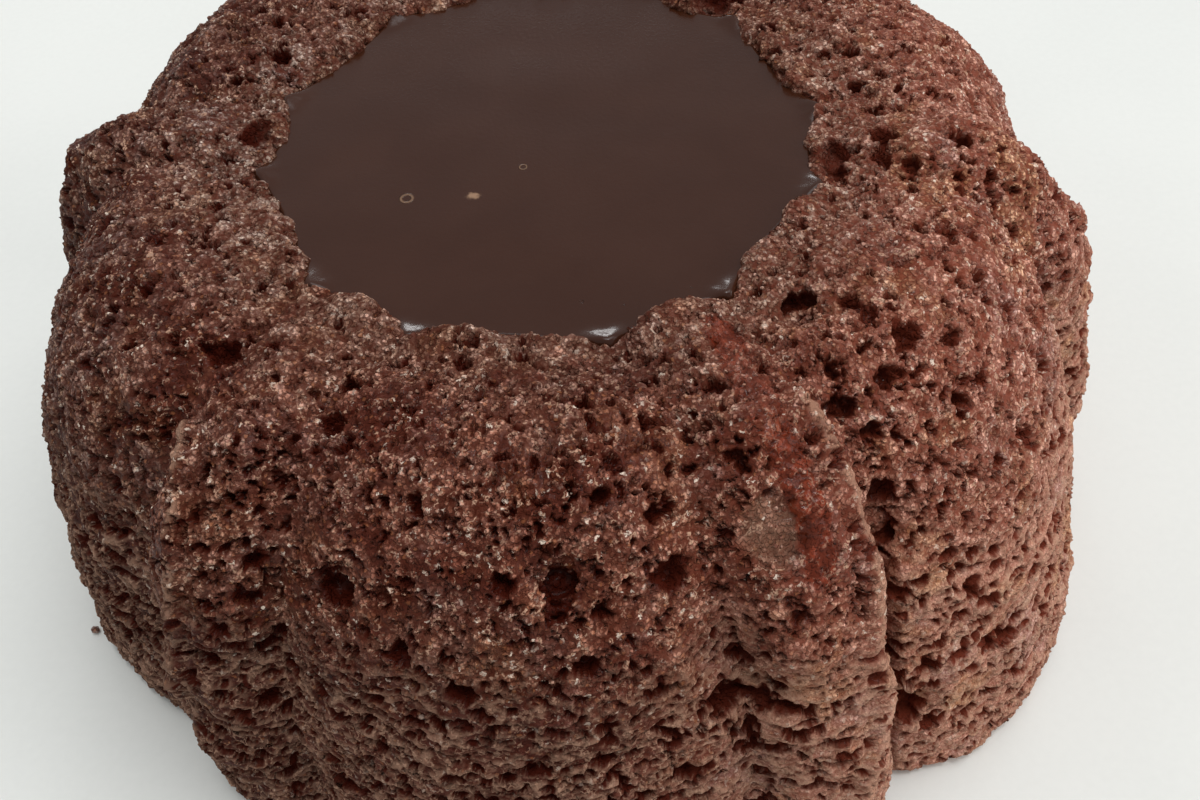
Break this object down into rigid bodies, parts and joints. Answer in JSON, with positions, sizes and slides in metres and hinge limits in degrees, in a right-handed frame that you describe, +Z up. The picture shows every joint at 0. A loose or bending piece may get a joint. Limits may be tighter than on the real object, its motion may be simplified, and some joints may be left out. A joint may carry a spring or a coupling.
{
  "type": "chocolate lava cake",
  "caption": "Small fluted chocolate cake standing on its wide side, with broad lobes, narrow ridges and a scalloped pool of smooth ganache in its crown.",
  "frame": {"origin": "middle of the flat underside that the cake stands on", "axes": "+Z up through the crown, -Y towards the broad lobe that faces the viewer, +X through one of the narrow ridges"},
  "size_m": [0.0888, 0.09, 0.0368],
  "materials": {
    "crumb": "open chocolate crumb with a reddish, slightly shiny crust and many small holes",
    "ganache": "smooth satin dark chocolate ganache"
  },
  "bodies": {
    "root": {"cake": "crumb", "ganache": "ganache"}
  },
  "joints": []
}
